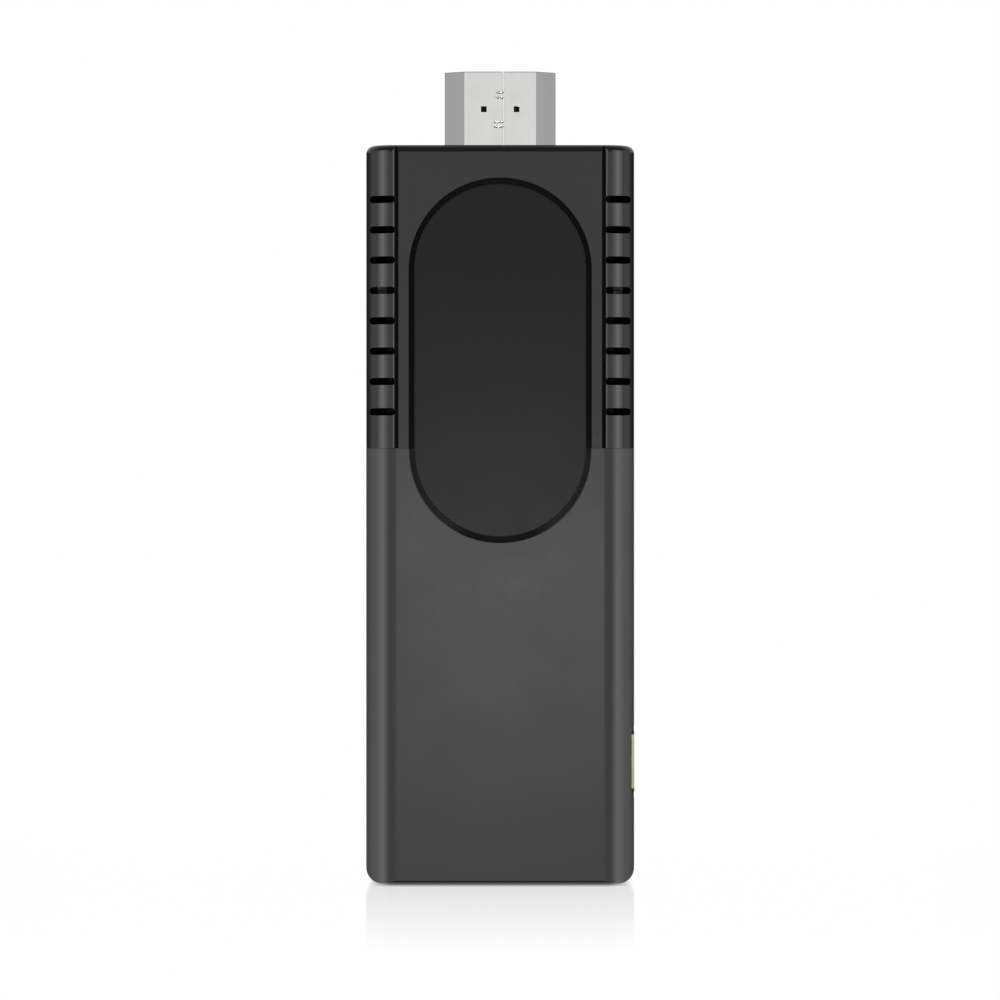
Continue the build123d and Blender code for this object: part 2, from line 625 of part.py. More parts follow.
with BuildPart() as video_plug_insulator:
    with BuildSketch(Plane.XY.offset(PLUG_BASE_BACK)):
        add(plug_section(-PLUG_SHEET))
    extrude(amount=PLUG_TIP - PLUG_MOUTH_INSET - PLUG_BASE_BACK)
    with BuildSketch(Plane.XY.offset(PLUG_TIP - PLUG_SLOT_LENGTH)):
        with Locations((0, PARTING_Y)):
            Rectangle(PLUG_SLOT_WIDTH, PLUG_SLOT_DEPTH)
    extrude(amount=PLUG_SLOT_LENGTH, mode=Mode.SUBTRACT)
    # The back is slotted and straddles the board's edge.
    with BuildSketch(Plane.XY.offset(PLUG_BASE_BACK)):
        with Locations((0, PARTING_Y)):
            Rectangle(PLUG_WIDTH, BOARD_THICKNESS)
    extrude(amount=BOARD_TOP - PLUG_BASE_BACK, mode=Mode.SUBTRACT)
    # A recess behind each of the shell's square holes, which lets a port's spring dip in.
    with BuildSketch(facing_front(PLUG_FRONT_Y)):
        with Locations((0, LATCH_HOLE_Z)):
            with GridLocations(LATCH_HOLE_SPACING, 1, 2, 1):
                Rectangle(LATCH_RECESS, LATCH_RECESS)
    extrude(amount=-PLUG_SHEET - LATCH_RECESS_DEPTH, mode=Mode.SUBTRACT)
    add(video_plug_contacts.part, mode=Mode.SUBTRACT)
pieces["video_plug_insulator"] = video_plug_insulator

with BuildPart() as video_plug_collar:
    with BuildSketch(Plane.XY.offset(COLLAR_TOP - COLLAR_HEIGHT)):
        add(plug_section(COLLAR_MARGIN))
        add(plug_section(), mode=Mode.SUBTRACT)
    extrude(amount=COLLAR_HEIGHT)
pieces["video_plug_collar"] = video_plug_collar

# ---------------------------------------------------------------- the power socket
with BuildPart() as power_socket_shell:
    with BuildSketch(facing_right(SOCKET_BACK_X)):
        add(socket_section())
        add(socket_section(SOCKET_SHEET), mode=Mode.SUBTRACT)
    extrude(amount=SIDE_X - SOCKET_BACK_X)
    with BuildSketch(facing_front(BOARD_REAR_Y)):
        with Locations(*SOCKET_LEGS):
            Rectangle(SOCKET_LEG_WIDTH, SOCKET_SHEET)
    extrude(amount=BOARD_THICKNESS + SOCKET_LEG_RISE)
pieces["power_socket_shell"] = power_socket_shell

with BuildPart() as power_socket_contacts:
    with BuildSketch(facing_front(SOCKET_TONGUE_Y)):
        with Locations((SOCKET_BACK_X + SOCKET_CONTACT_LENGTH / 2 + 0.2, SOCKET_Z)):
            with GridLocations(1, SOCKET_CONTACT_PITCH, 1, SOCKET_CONTACTS):
                Rectangle(SOCKET_CONTACT_LENGTH, SOCKET_CONTACT_WIDTH)
    extrude(amount=-SOCKET_CONTACT_THICKNESS)
pieces["power_socket_contacts"] = power_socket_contacts

with BuildPart() as power_socket_insulator:
    with BuildSketch(facing_right(SOCKET_BACK_X)):
        add(socket_section(SOCKET_SHEET))
    extrude(amount=SOCKET_BLOCK)
    with BuildSketch(facing_front(SOCKET_TONGUE_Y)):
        with Locations((SOCKET_BACK_X + SOCKET_TONGUE_LENGTH / 2, SOCKET_Z)):
            Rectangle(SOCKET_TONGUE_LENGTH, SOCKET_TONGUE_WIDTH)
    extrude(amount=SOCKET_TONGUE_THICKNESS)
    add(power_socket_contacts.part, mode=Mode.SUBTRACT)
pieces["power_socket_insulator"] = power_socket_insulator


# ---------------------------------------------------------------- the reset button and its switch
def side_rod(radius, y, z, start_x, end_x):
    """A round rod along X."""
    with BuildPart() as rod:
        with BuildSketch(facing_right(start_x)):
            with Locations((y, z)):
                Circle(radius)
        extrude(amount=end_x - start_x)
    return rod


with BuildPart() as reset_button:
    add(side_rod(BUTTON_R, BUTTON_Y, BUTTON_Z, -SIDE_X - BUTTON_PROUD, PLUNGER_X).part)
    fillet(reset_button.faces().sort_by(Axis.X)[0].edges(), BUTTON_EDGE_R)
    add(side_rod(FLANGE_R, BUTTON_Y, BUTTON_Z, FLANGE_X, PLUNGER_X).part)
pieces["reset_button"] = reset_button

pieces["reset_switch_plunger"] = side_rod(
    PLUNGER_R, BUTTON_Y, BUTTON_Z, PLUNGER_X, SWITCH_X + PLUNGER_INSIDE
)

# The snap dome at the bottom of the well is what pushes the plunger back.
pieces["reset_switch_dome"] = side_rod(
    DOME_R, BUTTON_Y, BUTTON_Z, SWITCH_X + SWITCH_WELL - DOME_THICKNESS, SWITCH_X + SWITCH_WELL
)

with BuildPart() as reset_switch_body:
    with BuildSketch(facing_front(BOARD_REAR_Y)):
        with Locations((SWITCH_X + SWITCH_DEPTH / 2, BUTTON_Z)):
            Rectangle(SWITCH_DEPTH, SWITCH_LENGTH)
    extrude(amount=-SWITCH_HEIGHT)
    with BuildSketch(facing_right(SWITCH_X)):
        with Locations((BUTTON_Y, BUTTON_Z)):
            Circle(PLUNGER_R + BUTTON_CLEARANCE)
    extrude(amount=SWITCH_WELL, mode=Mode.SUBTRACT)
pieces["reset_switch_body"] = reset_switch_body

# ---------------------------------------------------------------- the light pipe of the status lamp
with BuildPart() as light_pipe:
    add(side_rod(LIGHT_PIPE_R, LAMP_Y, LAMP_Z, LIGHT_PIPE_X, SIDE_X).part)
    add(side_rod(LIGHT_PIPE_COLLAR_R, LAMP_Y, LAMP_Z, INNER_X - LIGHT_PIPE_COLLAR, INNER_X).part)
pieces["light_pipe"] = light_pipe

# ---------------------------------------------------------------- the board and its screws
with BuildPart() as circuit_board:
    with BuildSketch(facing_front(BOARD_REAR_Y)):
        with Locations((0, (BOARD_BOTTOM + BOARD_TOP) / 2)):
            RectangleRounded(2 * BOARD_HALF_WIDTH, BOARD_TOP - BOARD_BOTTOM, BOARD_CORNER_R)
        with Locations((SOCKET_EAR_X / 2, SOCKET_Z)):
            Rectangle(SOCKET_EAR_X, SOCKET_EAR_LENGTH)
        with Locations(*BOARD_SCREWS):
            Circle(SCREW_HOLE_R, mode=Mode.SUBTRACT)
        with Locations(*SOCKET_LEGS):
            Rectangle(
                SOCKET_LEG_WIDTH + 2 * SOCKET_LEG_GAP, SOCKET_SHEET + 2 * SOCKET_LEG_GAP, mode=Mode.SUBTRACT
            )
    extrude(amount=BOARD_THICKNESS)
pieces["circuit_board"] = circuit_board

with BuildPart() as board_screws:
    with BuildSketch(facing_front(BOARD_FRONT_Y + SCREW_LENGTH)):
        with Locations(*BOARD_SCREWS):
            Circle(SCREW_SHANK_R)
    extrude(amount=SCREW_LENGTH)
    with BuildSketch(facing_front(BOARD_FRONT_Y)):
        with Locations(*BOARD_SCREWS):
            Circle(SCREW_HEAD_R)
    extrude(amount=SCREW_HEAD_HEIGHT)
    fillet(board_screws.faces().group_by(Axis.Y)[0].edges(), SCREW_HEAD_EDGE_R)
    with BuildSketch(facing_front(BOARD_FRONT_Y - SCREW_HEAD_HEIGHT)):
        with Locations(*BOARD_SCREWS):
            Rectangle(SCREW_RECESS_LENGTH, SCREW_RECESS_WIDTH)
            Rectangle(SCREW_RECESS_WIDTH, SCREW_RECESS_LENGTH)
    extrude(amount=-SCREW_RECESS_DEPTH, mode=Mode.SUBTRACT)
pieces["board_screws"] = board_screws


# ---------------------------------------------------------------- what the board carries
def packages(width, height, thickness, places, rear=False, bevel=0.0, mark=0.0):
    """Flat packages that stand on one face of the board, with a pin-one dimple where mark is its radius."""
    face_y = BOARD_REAR_Y if rear else BOARD_FRONT_Y
    outward = -1 if rear else 1
    with BuildPart() as blocks:
        with BuildSketch(facing_front(face_y)):
            with Locations(*places):
                Rectangle(width, height)
        extrude(amount=outward * thickness)
        if bevel:
            chamfer(blocks.faces().group_by(Axis.Y)[-1 if rear else 0].edges(), bevel)
        if mark:
            corners = [(x - width / 2 + 2 * mark, z + height / 2 - 2 * mark) for x, z in places]
            with BuildSketch(facing_front(face_y - outward * thickness)):
                with Locations(*corners):
                    Circle(mark)
            extrude(amount=-outward * MARK_DEPTH, mode=Mode.SUBTRACT)
    return blocks


pieces["main_processor"] = packages(
    PROCESSOR_SIZE, PROCESSOR_SIZE, PROCESSOR_THICKNESS, [(0, PROCESSOR_Z)], bevel=0.15, mark=0.4
)
pieces["memory_chips"] = packages(
    9.0, 13.0, 1.0, [(-6.6, PROCESSOR_Z), (6.6, PROCESSOR_Z)], rear=True, bevel=0.1, mark=0.35
)
pieces["flash_chip"] = packages(11.5, 13.0, 0.9, [(3.5, 51.0)], rear=True, bevel=0.1, mark=0.35)
pieces["power_chip"] = packages(5.0, 5.0, 0.8, [(4.0, 36.0)], rear=True, bevel=0.08, mark=0.25)
pieces["surge_arrays"] = packages(1.0, 2.5, 0.5, [(x, 79.6) for x in (-4.5, -1.5, 1.5, 4.5)])
pieces["crystal"] = packages(2.5, 3.2, 0.7, [(-10.4, 62.0)], bevel=0.1)
pieces["tantalum_capacitors"] = packages(2.8, 3.5, 1.9, [(5.0, 12.0), (5.0, 17.5)], bevel=0.2)
pieces["status_led"] = packages(0.8, 1.6, 1.0, [(BOARD_HALF_WIDTH - 0.4, LAMP_Z)], rear=True)
pieces["radio_module"] = packages(
    RADIO_BOARD, RADIO_BOARD, RADIO_BOARD_THICKNESS, [(RADIO_X, RADIO_Z)], rear=True
)

with BuildPart() as power_inductors:
    with BuildSketch(facing_front(BOARD_REAR_Y)):
        with Locations(*INDUCTORS):
            RectangleRounded(INDUCTOR_SIZE, INDUCTOR_SIZE, INDUCTOR_CORNER_R)
    extrude(amount=-INDUCTOR_HEIGHT)
    with BuildSketch(facing_front(BOARD_REAR_Y + INDUCTOR_HEIGHT)):
        with Locations(*INDUCTORS):
            Circle(INDUCTOR_CORE_R)
    extrude(amount=INDUCTOR_CORE_DEPTH, mode=Mode.SUBTRACT)
pieces["power_inductors"] = power_inductors

with BuildPart() as ceramic_capacitors:
    with BuildSketch(facing_front(BOARD_FRONT_Y)):
        with Locations((-10.2, 72.0), (10.2, 72.0)):
            with GridLocations(1.6, 2.4, 2, 5):
                Rectangle(CAPACITOR_WIDTH, CAPACITOR_LENGTH)
        with Locations((-2.0, 26.0)):
            with GridLocations(2.0, 2.6, 4, 3):
                Rectangle(CAPACITOR_WIDTH, CAPACITOR_LENGTH)
    extrude(amount=CAPACITOR_HEIGHT)
pieces["ceramic_capacitors"] = ceramic_capacitors

with BuildPart() as chip_resistors:
    with BuildSketch(facing_front(BOARD_FRONT_Y)):
        with Locations((0, 59.6)):
            with GridLocations(1.4, 2.0, 8, 2):
                Rectangle(RESISTOR_WIDTH, RESISTOR_LENGTH)
        with Locations((-2.0, 36.5)):
            with GridLocations(1.6, 2.2, 6, 3):
                Rectangle(RESISTOR_WIDTH, RESISTOR_LENGTH)
    extrude(amount=RESISTOR_HEIGHT)
pieces["chip_resistors"] = chip_resistors

with BuildPart() as thermal_pad:
    with BuildSketch(facing_front(BOARD_FRONT_Y - PROCESSOR_THICKNESS)):
        with Locations((0, PROCESSOR_Z)):
            Rectangle(THERMAL_PAD_SIZE, THERMAL_PAD_SIZE)
    extrude(amount=THERMAL_PAD_THICKNESS)
pieces["thermal_pad"] = thermal_pad

with BuildPart() as heat_sink:
    with BuildSketch(facing_front(SINK_BACK_Y)):
        with Locations((0, PROCESSOR_Z)):
            RectangleRounded(SINK_WIDTH, SINK_HEIGHT, SINK_CORNER_R)
    extrude(amount=SINK_THICKNESS)
    with BuildSketch(facing_front(SINK_BACK_Y - SINK_THICKNESS)):
        with Locations((0, PROCESSOR_Z)):
            with GridLocations(SINK_GAP_PITCH, 1, SINK_GAPS, 1):
                Rectangle(SINK_GAP_PITCH / 2, SINK_HEIGHT)
    extrude(amount=-SINK_GAP_DEPTH, mode=Mode.SUBTRACT)
pieces["heat_sink"] = heat_sink

with BuildPart() as radio_chip:
    with BuildSketch(facing_front(RADIO_FACE_Y)):
        with Locations((RADIO_X, RADIO_Z)):
            Rectangle(RADIO_CHIP, RADIO_CHIP)
    extrude(amount=-RADIO_CHIP_THICKNESS)
pieces["radio_chip"] = radio_chip

with BuildPart() as radio_shield_can:
    with BuildSketch(facing_front(RADIO_FACE_Y)):
        with Locations((RADIO_X, RADIO_Z)):
            RectangleRounded(CAN_SIZE, CAN_SIZE, CAN_CORNER_R)
    extrude(amount=-CAN_HEIGHT)
    can_inside = CAN_SIZE - 2 * CAN_SHEET
    with BuildSketch(facing_front(RADIO_FACE_Y)):
        with Locations((RADIO_X, RADIO_Z)):
            RectangleRounded(can_inside, can_inside, CAN_CORNER_R - CAN_SHEET)
    extrude(amount=CAN_SHEET - CAN_HEIGHT, mode=Mode.SUBTRACT)
pieces["radio_shield_can"] = radio_shield_can

with BuildPart() as radio_aerial:
    with BuildSketch(facing_front(BOARD_FRONT_Y)):
        with Locations(*[(x, AERIAL_Z) for x in AERIAL_FEET_X]):
            Rectangle(AERIAL_FOOT_WIDTH, AERIAL_SHEET)
    extrude(amount=AERIAL_RISE)
    with BuildSketch(facing_front(BOARD_FRONT_Y - AERIAL_RISE + AERIAL_SHEET)):
        with Locations((AERIAL_X, AERIAL_Z + (AERIAL_ARM_WIDTH - AERIAL_SHEET) / 2)):
            Rectangle(AERIAL_ARM_LENGTH, AERIAL_ARM_WIDTH)
    extrude(amount=AERIAL_SHEET)
pieces["radio_aerial"] = radio_aerial

# ---------------------------------------------------------------- writing the pieces
os.makedirs("parts", exist_ok=True)
for name, piece in pieces.items():
    piece.part.label = name
    export_step(piece.part, f"parts/{name}.step")
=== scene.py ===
# The looks of a stick-shaped streaming media player: its finishes, a white studio round it and the camera.
#
# Metres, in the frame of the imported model: the stick stands on the floor at z = 0, and its front faces -Y.
import math

import bpy
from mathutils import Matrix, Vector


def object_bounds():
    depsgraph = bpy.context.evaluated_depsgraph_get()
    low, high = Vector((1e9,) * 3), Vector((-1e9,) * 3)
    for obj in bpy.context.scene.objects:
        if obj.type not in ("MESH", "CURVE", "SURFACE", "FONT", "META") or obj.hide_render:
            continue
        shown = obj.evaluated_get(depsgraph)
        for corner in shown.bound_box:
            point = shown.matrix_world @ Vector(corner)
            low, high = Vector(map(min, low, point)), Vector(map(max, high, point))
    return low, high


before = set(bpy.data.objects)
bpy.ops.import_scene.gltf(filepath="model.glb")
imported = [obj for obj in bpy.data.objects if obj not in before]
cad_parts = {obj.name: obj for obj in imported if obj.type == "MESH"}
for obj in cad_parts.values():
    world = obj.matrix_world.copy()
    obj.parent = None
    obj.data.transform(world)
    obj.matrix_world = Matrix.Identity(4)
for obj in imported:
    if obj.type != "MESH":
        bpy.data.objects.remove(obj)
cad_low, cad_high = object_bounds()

MM = 0.001
MICRON = 0.000001


# ---------------------------------------------------------------- building node graphs
class Graph:
    """A node tree that is built by calls. A value is a number, a tuple, or the output of another node."""

    def __init__(self, tree):
        self.tree = tree

    def node(self, kind, inputs=None, **settings):
        """Adds a node, with its inputs set or linked."""
        made = self.tree.nodes.new("ShaderNode" + kind)
        for name, value in settings.items():
            setattr(made, name, value)
        for key, value in (inputs or {}).items():
            self.feed(made.inputs[key], value)
        return made

    def feed(self, socket, value):
        if isinstance(value, bpy.types.NodeSocket):
            self.tree.links.new(value, socket)
        else:
            socket.default_value = value

    def math(self, operation, *values):
        return self.node("Math", dict(enumerate(values)), operation=operation).outputs[0]

    def rescale(self, value, start, end, low=0.0, high=1.0, smooth=False):
        """Low where value is start, high where it is end, and nothing outside the two."""
        limits = {"Value": value, "From Min": start, "From Max": end, "To Min": low, "To Max": high}
        kind = "SMOOTHSTEP" if smooth else "LINEAR"
        return self.node("MapRange", limits, interpolation_type=kind).outputs["Result"]

    def blend(self, factor, first, second):
        """A colour between two. The mix node's colours are its inputs 6 and 7, and its output 2."""
        return self.node("Mix", {0: factor, 6: first, 7: second}, data_type="RGBA").outputs[2]


class Finish(Graph):
    """A material in the making, with a principled shader."""

    def __init__(self, name):
        self.material = bpy.data.materials.new(name)
        self.material.use_nodes = True
        super().__init__(self.material.node_tree)
        self.shader = self.tree.nodes["Principled BSDF"]
        self.place = self.node("TexCoord").outputs["Object"]
        self.normal = None

    def set(self, **sockets):
        """Sets or links the shader's sockets, named with underscores for spaces."""
        for name, value in sockets.items():
            self.feed(self.shader.inputs[name.replace("_", " ")], value)

    def scaled(self, size, stretch=(1, 1, 1)):
        """The piece's coordinates, so that one unit is size, times stretch along each axis."""
        scale = tuple(1 / (size * along) for along in stretch)
        return self.node("Mapping", {"Vector": self.place, "Scale": scale}).outputs["Vector"]

    def noise(self, size, stretch=(1, 1, 1), detail=2.0):
        """Cloudy noise from 0 to 1, whose blotches are about size across."""
        inputs = {"Vector": self.scaled(size, stretch), "Scale": 1.0, "Detail": detail}
        return self.node("TexNoise", inputs).outputs["Fac"]

    def cells(self, size, stretch=(1, 1, 1), feature="F1"):
        """Distance from the middle of pebble-like cells that are about size across."""
        inputs = {"Vector": self.scaled(size, stretch), "Scale": 1.0}
        return self.node("TexVoronoi", inputs, feature=feature).outputs["Distance"]

    def round_edges(self, radius):
        """Softens sharp edges, and gives a mask that is 1 on them and 0 on open faces."""
        self.normal = self.node("Bevel", {"Radius": radius}, samples=6).outputs["Normal"]
        open_face = self.node("NewGeometry").outputs["Normal"]
        alike = self.node("VectorMath", {0: self.normal, 1: open_face}, operation="DOT_PRODUCT")
        return self.rescale(alike.outputs["Value"], 0.99, 0.85)

    def facing(self, axis):
        """How squarely a face looks along one of the object's axes, either way: 1 is straight along it."""
        normal = self.node("SeparateXYZ", {0: self.node("TexCoord").outputs["Normal"]})
        return self.math("ABSOLUTE", normal.outputs[axis])

    def relief(self, height, depth):
        """Adds bumps, depth high where height is 1."""
        inputs = {"Height": height, "Distance": depth, "Strength": 1.0}
        if self.normal is not None:
            inputs["Normal"] = self.normal
        self.normal = self.node("Bump", inputs).outputs["Normal"]

    def done(self):
        if self.normal is not None:
            self.feed(self.shader.inputs["Normal"], self.normal)
        return self.material


# ---------------------------------------------------------------- families of finishes
MOTTLE_SIZE = 9 * MM        # the faint cloudiness of moulded plastic
WEAR_SIZE = 1.4 * MM        # the patches in which its edges are rubbed
WAVE_SIZE = 5 * MM          # the unevenness of a glossy face
STAIN_SIZE = 2.4 * MM       # the faint stains on metal


def grey(value):
    return (value, value, value, 1.0)


def rgb(red, green, blue):
    return (red, green, blue, 1.0)


def moulded(
    name, dark, light, roughness, grain, depth, edge=0.1 * MM, worn=None, specular=0.5, waviness=0.0,
    sides=None
):
    """Moulded plastic or another solid, uniform material: a fine grain, a faint mottle and rubbed edges.

    The faces that look sideways can take another colour, a painted sheen for the light that they catch.
    """
    finish = Finish(name)
    on_edge = finish.round_edges(edge)
    mottle = finish.noise(MOTTLE_SIZE, detail=3.0)
    fine = finish.noise(grain, detail=3.0)
    colour = finish.blend(finish.math("MULTIPLY_ADD", mottle, 0.7, 0.5), dark, light)
    speckle = finish.rescale(fine, 0.35, 0.7)
    colour = finish.blend(finish.math("MULTIPLY", speckle, 0.35), colour, light)
    # Painted sheen: the faces that look sideways are lightened where they would catch the light.
    if sides:
        painted_sheen = finish.rescale(finish.facing("X"), 0.24, 0.46, smooth=True)
        painted_sheen = finish.math("MULTIPLY", painted_sheen, finish.rescale(mottle, 0.2, 0.5, 0.85, 1.0))
        colour = finish.blend(painted_sheen, colour, sides)
    patches = finish.rescale(finish.noise(WEAR_SIZE, detail=4.0), 0.4, 0.62)
    rubbed = finish.math("MULTIPLY", on_edge, patches)
    colour = finish.blend(finish.math("MULTIPLY", rubbed, 0.5), colour, worn or light)
    smooth, rough = roughness
    finish.relief(fine, depth)
    if waviness:
        finish.relief(finish.noise(WAVE_SIZE, detail=1.0), waviness)
    finish.set(
        Base_Color=colour,
        Roughness=finish.rescale(finish.math("ADD", fine, mottle), 0.6, 1.4, smooth, rough),
        Specular_IOR_Level=specular,
    )
    return finish.done()


def metal(
    name, dark, light, roughness, stretch=(1, 1, 1), grain=0.25 * MM, depth=1.5 * MICRON, edge=0.05 * MM,
    edge_shine=0.6, sides=None
):
    """Bare or plated metal: drawing lines along one axis, faint stains and bright edges.

    The faces that look neither to the front nor to the back can have another colour, painted shade for the
    darker light that they reflect.
    """
    finish = Finish(name)
    on_edge = finish.round_edges(edge)
    lines = finish.noise(grain, stretch, detail=4.0)
    stain = finish.noise(STAIN_SIZE, detail=3.0)
    colour = finish.blend(finish.rescale(stain, 0.3, 0.7), dark, light)
    # Painted shade: the faces that look neither to the front nor to the back are darkened.
    if sides:
        colour = finish.blend(finish.rescale(finish.facing("Y"), 0.97, 0.9), colour, sides)
    colour = finish.blend(finish.math("MULTIPLY", on_edge, edge_shine), colour, light)
    smooth, rough = roughness
    finish.relief(lines, depth)
    finish.set(
        Base_Color=colour,
        Metallic=1.0,
        Roughness=finish.rescale(finish.math("ADD", lines, stain), 0.6, 1.4, smooth, rough),
    )
    return finish.done()


# ---------------------------------------------------------------- the finishes, one for each material slot
def gloss_black():
    return moulded(
        "gloss_black", grey(0.006), grey(0.010), (0.05, 0.10), 0.5 * MM, 0.4 * MICRON, edge=0.04 * MM,
        waviness=2 * MICRON,
    )


def satin_graphite():
    return moulded(
        "satin_graphite", grey(0.010), grey(0.014), (0.3, 0.36), 0.16 * MM, 3 * MICRON, edge=0.04 * MM,
        # The lighter colour of the sideways faces is a painted sheen on the rails.
        specular=0.4, sides=grey(0.055),
    )


def inlay_black():
    return moulded(
        "inlay_black", grey(0.009), grey(0.012), (0.25, 0.3), 0.12 * MM, 1 * MICRON, specular=0.1
    )


def label_grey():
    return moulded("label_grey", grey(0.10), grey(0.13), (0.5, 0.65), 0.2 * MM, 3 * MICRON)


def tape():
    return moulded("tape", rgb(0.55, 0.52, 0.42), rgb(0.70, 0.67, 0.56), (0.4, 0.55), 0.3 * MM, 5 * MICRON)


def plug_metal():
    """Bright nickel plating, with painted shade that darkens the bent sides against the wide front and back.
    """
    return metal(
        "plug_metal", rgb(0.67, 0.67, 0.66), rgb(0.71, 0.71, 0.70), (0.06, 0.1), (1, 1, 14), 0.12 * MM,
        # The darker colour of the bent sides is painted shade.
        0.3 * MICRON, edge=0.02 * MM, edge_shine=0.3, sides=grey(0.42),
    )


def plug_insulator():
    return moulded(
        "plug_insulator", grey(0.004), grey(0.008), (0.5, 0.6), 0.15 * MM, 3 * MICRON, specular=0.15
    )


def gold_contact():
    return metal("gold_contact", rgb(0.83, 0.58, 0.24), rgb(0.95, 0.72, 0.36), (0.18, 0.3), (1, 1, 8))


def socket_gold():
    return metal(
        "socket_gold", rgb(0.20, 0.22, 0.12), rgb(0.27, 0.29, 0.17), (0.25, 0.36), (8, 1, 1), 0.1 * MM
    )


def button_black():
    return moulded("button_black", grey(0.010), grey(0.018), (0.36, 0.48), 0.14 * MM, 4 * MICRON)


def switch_black():
    return moulded("switch_black", grey(0.012), grey(0.020), (0.45, 0.6), 0.12 * MM, 4 * MICRON)


def switch_white():
    return moulded(
        "switch_white", rgb(0.70, 0.68, 0.62), rgb(0.80, 0.78, 0.72), (0.4, 0.5), 0.12 * MM, 3 * MICRON
    )


def spring_steel():
    return metal("spring_steel", grey(0.50), grey(0.62), (0.24, 0.36), (1, 6, 1))


def light_pipe():
    finish = Finish("light_pipe")
    finish.round_edges(0.05 * MM)
    haze = finish.noise(0.3 * MM)
    finish.relief(haze, 2 * MICRON)
    finish.set(
        Base_Color=finish.blend(haze, rgb(0.78, 0.82, 0.86), rgb(0.92, 0.94, 0.96)),
        Roughness=finish.rescale(haze, 0.3, 0.7, 0.08, 0.2),
        Transmission_Weight=0.7,
    )
    return finish.done()


def lamp():
    return moulded("lamp", rgb(0.72, 0.66, 0.42), rgb(0.85, 0.82, 0.62), (0.15, 0.3), 0.1 * MM, 1 * MICRON)


def board_black():
    """Black solder mask over copper: tracks and pads show through as lighter, slightly raised lines."""
    finish = Finish("board_black")
    on_edge = finish.round_edges(0.05 * MM)
    tracks = finish.rescale(finish.cells(2.2 * MM, (1, 1, 2.5), feature="DISTANCE_TO_EDGE"), 0.035, 0.06)
    weave = finish.noise(0.4 * MM)
    mask = finish.blend(weave, grey(0.004), grey(0.008))
    colour = finish.blend(tracks, grey(0.016), mask)
    colour = finish.blend(on_edge, colour, rgb(0.10, 0.09, 0.05))
    finish.relief(finish.math("SUBTRACT", 1.0, tracks), 18 * MICRON)
    finish.set(
        Base_Color=colour, Roughness=finish.rescale(weave, 0.3, 0.7, 0.5, 0.62), Specular_IOR_Level=0.1
    )
    return finish.done()


def chip_black():
    return moulded(
        "chip_black", grey(0.010), grey(0.026), (0.5, 0.68), 0.08 * MM, 6 * MICRON, worn=grey(0.05)
    )


def ferrite():
    return moulded("ferrite", grey(0.030), grey(0.060), (0.6, 0.8), 0.15 * MM, 12 * MICRON, worn=grey(0.10))


def ceramic():
    return moulded(
        "ceramic", rgb(0.30, 0.19, 0.10), rgb(0.42, 0.29, 0.17), (0.3, 0.45), 0.1 * MM, 4 * MICRON
    )


def resistor_black():
    return moulded("resistor_black", grey(0.010), grey(0.020), (0.25, 0.4), 0.1 * MM, 3 * MICRON)


def tantalum():
    return moulded(
        "tantalum", rgb(0.62, 0.33, 0.04), rgb(0.75, 0.43, 0.07), (0.4, 0.55), 0.15 * MM, 5 * MICRON
    )


def tinned_can():
    return metal("tinned_can", grey(0.48), grey(0.62), (0.3, 0.45), (1, 1, 3), 0.4 * MM, 3 * MICRON)


def thermal_grey():
    return moulded("thermal_grey", grey(0.20), grey(0.28), (0.7, 0.9), 0.3 * MM, 20 * MICRON)


def heat_sink_metal():
    """Black anodised: the drawing lines still show through."""
    return moulded(
        "heat_sink_metal", grey(0.004), grey(0.008), (0.5, 0.65), 0.15 * MM, 4 * MICRON,
        worn=grey(0.05), specular=0.12,
    )


def screw_steel():
    return metal("screw_steel", rgb(0.05, 0.05, 0.048), rgb(0.09, 0.09, 0.086), (0.4, 0.52))


FINISHES = {
    maker.__name__: maker
    for maker in (
        gloss_black, satin_graphite, inlay_black, label_grey, tape, plug_metal, plug_insulator, gold_contact,
        socket_gold, button_black, switch_black, switch_white, spring_steel, light_pipe, lamp, board_black,
        chip_black, ferrite, ceramic, resistor_black, tantalum, tinned_can, thermal_grey, heat_sink_metal,
        screw_steel,
    )
}


def dress_nodes():
    """Gives every CAD node the finish that its material slot is named after."""
    slots = [slot for name in sorted(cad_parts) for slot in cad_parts[name].material_slots]
    finished = {}
    for slot in slots:
        plain = slot.material
        if plain not in finished:
            name = plain.name
            plain.name = name + "_plain"
            finished[plain] = FINISHES[name]()
        slot.material = finished[plain]


# ---------------------------------------------------------------- the studio
# Radiance of the surroundings, by the angle in degrees from the camera's side: two soft strips stand either
# side of the camera, and dark flags behind them keep the object's outline crisp.
RING = {
    0: 0.95, 30: 0.95, 44: 1.9, 55: 3.1, 66: 2.1, 80: 0.85, 98: 0.8, 112: 0.45, 124: 0.15, 138: 0.04,
    170: 0.04, 176: 1.0, 180: 1.0,
}
RING_BRIGHTEST = max(RING.values())
# Sine of the elevation where the ring starts to fade and where it has gone, in front and at the sides, and
# the part of the half turn over which the front passes into the sides.
FRONT_HEIGHT = (0.25, 0.35)
SIDE_HEIGHT = (0.35, 0.75)
FRONT_REACH = (24 / 180, 40 / 180)
OVERHEAD = 0.1
UNDERNEATH = 0.05
# Above and below the low dark flags, the studio behind the object is lit. The heights are the sine of the
# elevation, and the reaches are parts of the half turn from the camera's side to the far side.
REAR_LIGHT = 0.6
REAR_HEIGHT = (0.1, 0.2)
REAR_REACH = (104 / 180, 130 / 180)
BACKGROUND = 1.0

FLOOR_RADIUS = 1.5
FLOOR_SIDES = 96
FLOOR_REFLECTION = 0.29         # under the object, fading to nothing at the reach
FLOOR_REFLECTION_REACH = 0.14
FLOOR_ROUGHNESS = 0.1
